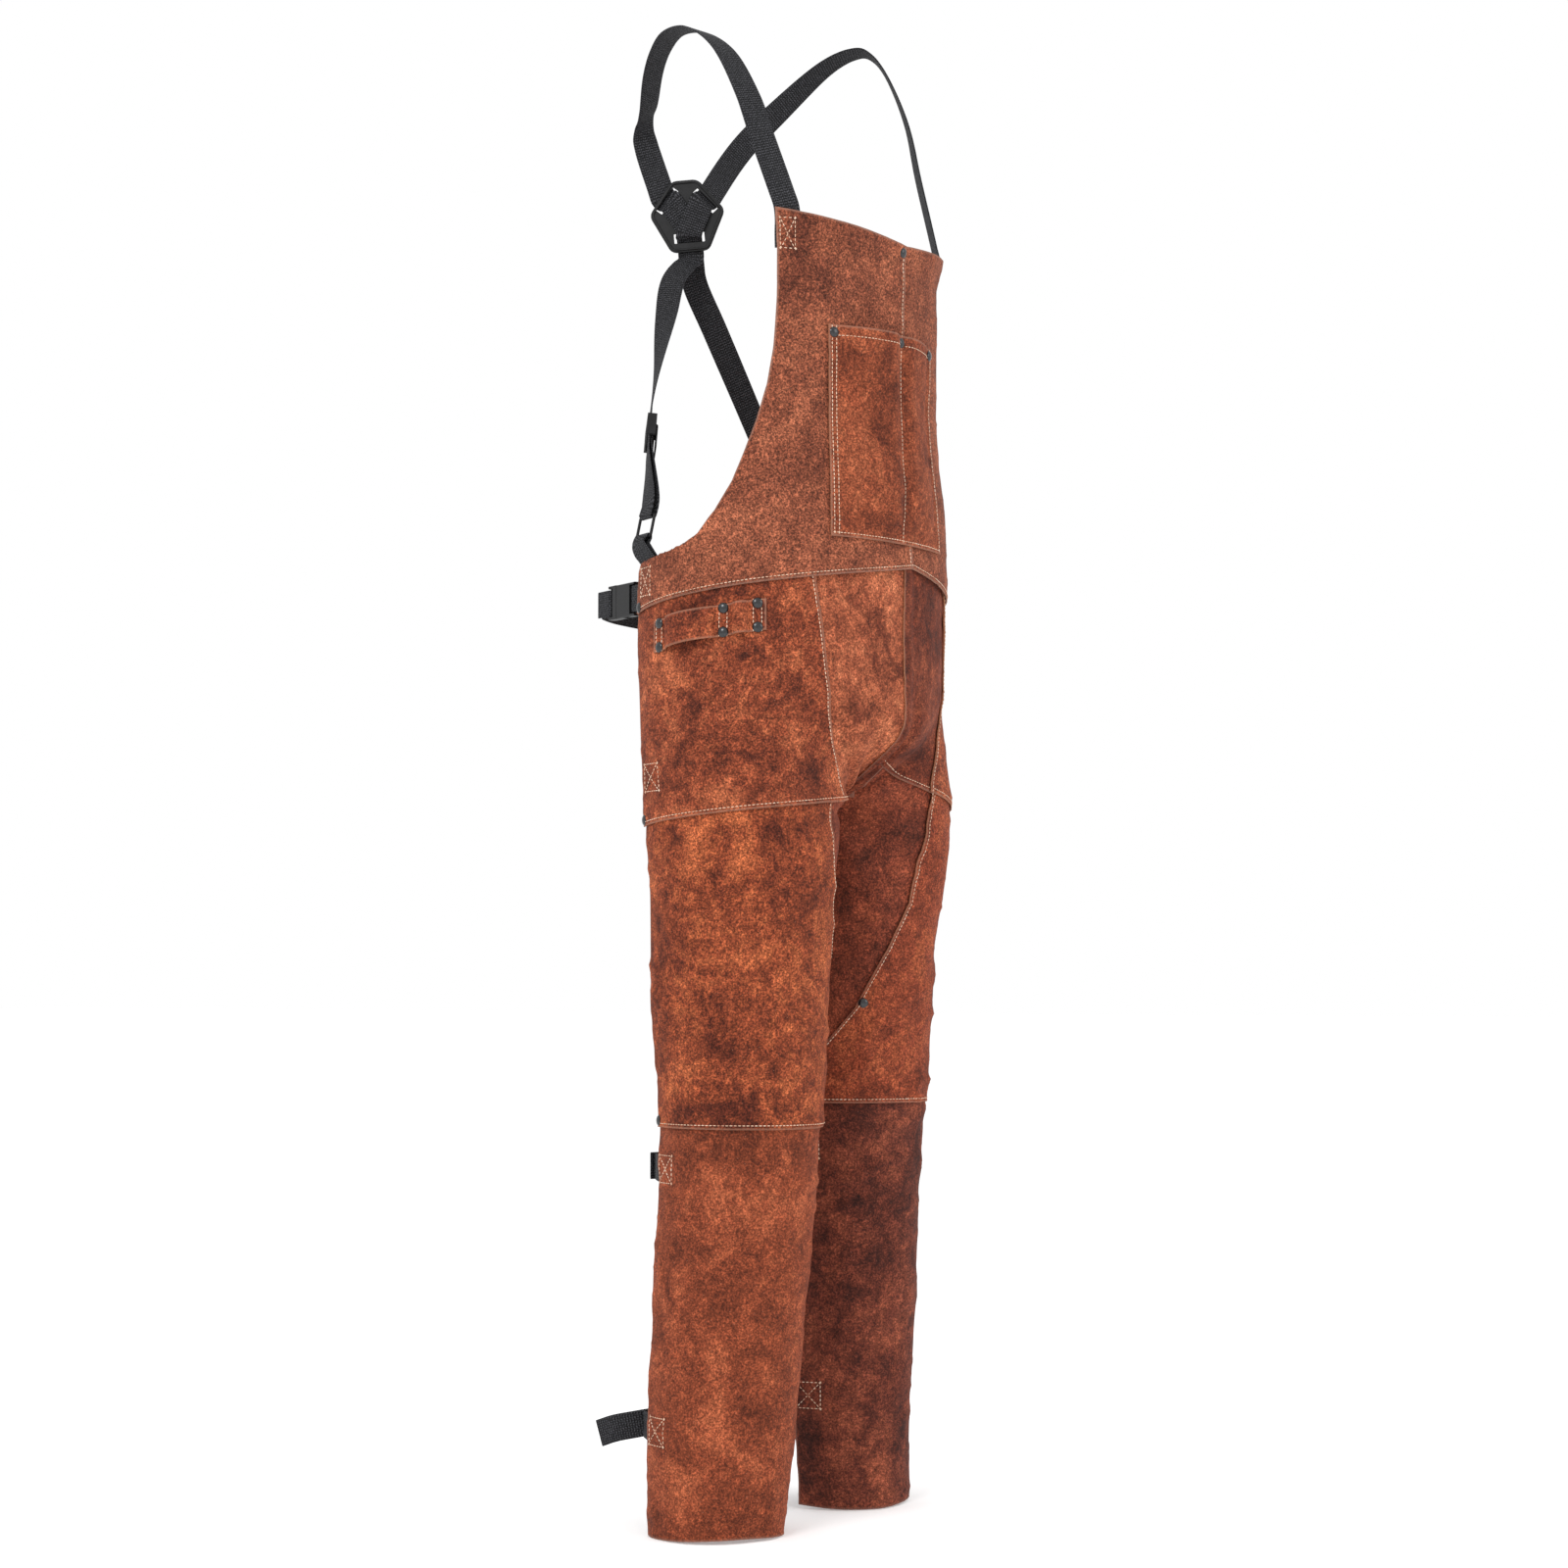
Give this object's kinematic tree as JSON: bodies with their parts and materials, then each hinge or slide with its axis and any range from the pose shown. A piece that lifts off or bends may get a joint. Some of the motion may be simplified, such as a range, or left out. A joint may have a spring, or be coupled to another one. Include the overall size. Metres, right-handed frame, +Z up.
{
  "type": "split-leg welding apron",
  "caption": "Leather bib and leg apron open at the back, with crossed shoulder webbing, a waist belt, leg straps, a chest pocket and tool loops.",
  "frame": {"origin": "between the two shoulder webbings, where the shoulders carry the apron, above the middle of the body", "axes": "+Z up, the wearer faces -Y, and the wearer's right side is -X"},
  "size_m": [0.3946, 0.3077, 1.435],
  "materials": {
    "suede": "rough split leather",
    "suede_bib": "rough split leather",
    "webbing": "woven webbing",
    "plastic": "moulded",
    "rivet": "black gunmetal"
  },
  "bodies": {
    "apron": {"anchor_webbing_left": "webbing", "anchor_webbing_right": "webbing", "ankle_buckle_left_socket": "plastic", "ankle_buckle_right_socket": "plastic", "ankle_webbing_lateral_left": "webbing", "ankle_webbing_lateral_right": "webbing", "ankle_webbing_medial_left": "webbing", "ankle_webbing_medial_right": "webbing", "back_plate": "plastic", "bib_left": "suede_bib", "bib_right": "suede_bib", "calf_buckle_left_socket": "plastic", "calf_buckle_right_socket": "plastic", "calf_panel_left": "suede", "calf_panel_right": "suede", "calf_webbing_lateral_left": "webbing", "calf_webbing_lateral_right": "webbing", "calf_webbing_medial_left": "webbing", "calf_webbing_medial_right": "webbing", "chest_pocket": "suede", "crotch_gusset_left": "suede", "crotch_gusset_right": "suede", "hip_panel_left": "suede", "hip_panel_right": "suede", "inner_knee_piece_left": "suede", "inner_knee_piece_right": "suede", "knee_panel_left": "suede", "knee_panel_right": "suede", "pocket_rivet_left": "rivet", "pocket_rivet_right": "rivet", "shoulder_webbing_left": "webbing", "shoulder_webbing_right": "webbing", "strip_rivet_1_bottom": "rivet", "strip_rivet_1_top": "rivet", "strip_rivet_2_bottom": "rivet", "strip_rivet_2_top": "rivet", "strip_rivet_3_bottom": "rivet", "strip_rivet_3_top": "rivet", "thigh_buckle_left_socket": "plastic", "thigh_buckle_right_socket": "plastic", "thigh_webbing_lateral_left": "webbing", "thigh_webbing_lateral_right": "webbing", "thigh_webbing_medial_left": "webbing", "thigh_webbing_medial_right": "webbing", "tool_strip": "suede", "waist_buckle_socket": "plastic", "waist_webbing_left": "webbing", "waist_webbing_right": "webbing"},
    "ankle_buckle_left_release": {"ankle_buckle_left_plug": "plastic"},
    "ankle_buckle_right_release": {"ankle_buckle_right_plug": "plastic"},
    "calf_buckle_left_release": {"calf_buckle_left_plug": "plastic"},
    "calf_buckle_right_release": {"calf_buckle_right_plug": "plastic"},
    "thigh_buckle_left_release": {"thigh_buckle_left_plug": "plastic"},
    "thigh_buckle_right_release": {"thigh_buckle_right_plug": "plastic"},
    "waist_buckle_release": {"waist_buckle_plug": "plastic"},
    "adjuster_right": {"slide_adjuster_right": "plastic"},
    "ring_right": {"strap_ring_right": "plastic"},
    "adjuster_left": {"slide_adjuster_left": "plastic"},
    "ring_left": {"strap_ring_left": "plastic"}
  },
  "joints": [
    {"name": "ankle_buckle_left_slide", "type": "slide", "parent": "apron", "child": "ankle_buckle_left_release", "axis": [0.9455, 0.3256, 0], "range_m": [0, 0.026], "deforming": ["ankle_webbing_lateral_left"]},
    {"name": "ankle_buckle_right_slide", "type": "slide", "parent": "apron", "child": "ankle_buckle_right_release", "axis": [-0.9455, 0.3256, 0], "range_m": [0, 0.026], "deforming": ["ankle_webbing_lateral_right"]},
    {"name": "calf_buckle_left_slide", "type": "slide", "parent": "apron", "child": "calf_buckle_left_release", "axis": [0.9563, 0.2924, 0], "range_m": [0, 0.026], "deforming": ["calf_webbing_lateral_left"]},
    {"name": "calf_buckle_right_slide", "type": "slide", "parent": "apron", "child": "calf_buckle_right_release", "axis": [-0.9563, 0.2924, 0], "range_m": [0, 0.026], "deforming": ["calf_webbing_lateral_right"]},
    {"name": "thigh_buckle_left_slide", "type": "slide", "parent": "apron", "child": "thigh_buckle_left_release", "axis": [0.9563, 0.2924, 0], "range_m": [0, 0.026], "deforming": ["thigh_webbing_lateral_left"]},
    {"name": "thigh_buckle_right_slide", "type": "slide", "parent": "apron", "child": "thigh_buckle_right_release", "axis": [-0.9563, 0.2924, 0], "range_m": [0, 0.026], "deforming": ["thigh_webbing_lateral_right"]},
    {"name": "waist_buckle_slide", "type": "slide", "parent": "apron", "child": "waist_buckle_release", "axis": [0.45, 0.893, 0], "range_m": [0, 0.026], "deforming": ["waist_webbing_left"]},
    {"name": "adjuster_slide_right", "type": "slide", "parent": "apron", "child": "adjuster_right", "axis": [0.4149, 0.2049, 0.8865], "range_m": [-0.03, 0.06], "deforming": ["shoulder_webbing_left"]},
    {"name": "ring_swing_right", "type": "hinge", "parent": "apron", "child": "ring_right", "pos_m": [-0.1519, 0.0701, -0.47137], "axis": [0.5, 0.866, 0], "range_deg": [-25, 25], "deforming": ["shoulder_webbing_left", "anchor_webbing_right"]},
    {"name": "adjuster_slide_left", "type": "slide", "parent": "apron", "child": "adjuster_left", "axis": [-0.4149, 0.2049, 0.8865], "range_m": [-0.03, 0.06], "deforming": ["shoulder_webbing_right"]},
    {"name": "ring_swing_left", "type": "hinge", "parent": "apron", "child": "ring_left", "pos_m": [0.1519, 0.0701, -0.47137], "axis": [0.5, -0.866, 0], "range_deg": [-25, 25], "deforming": ["shoulder_webbing_right", "anchor_webbing_left"]}
  ]
}
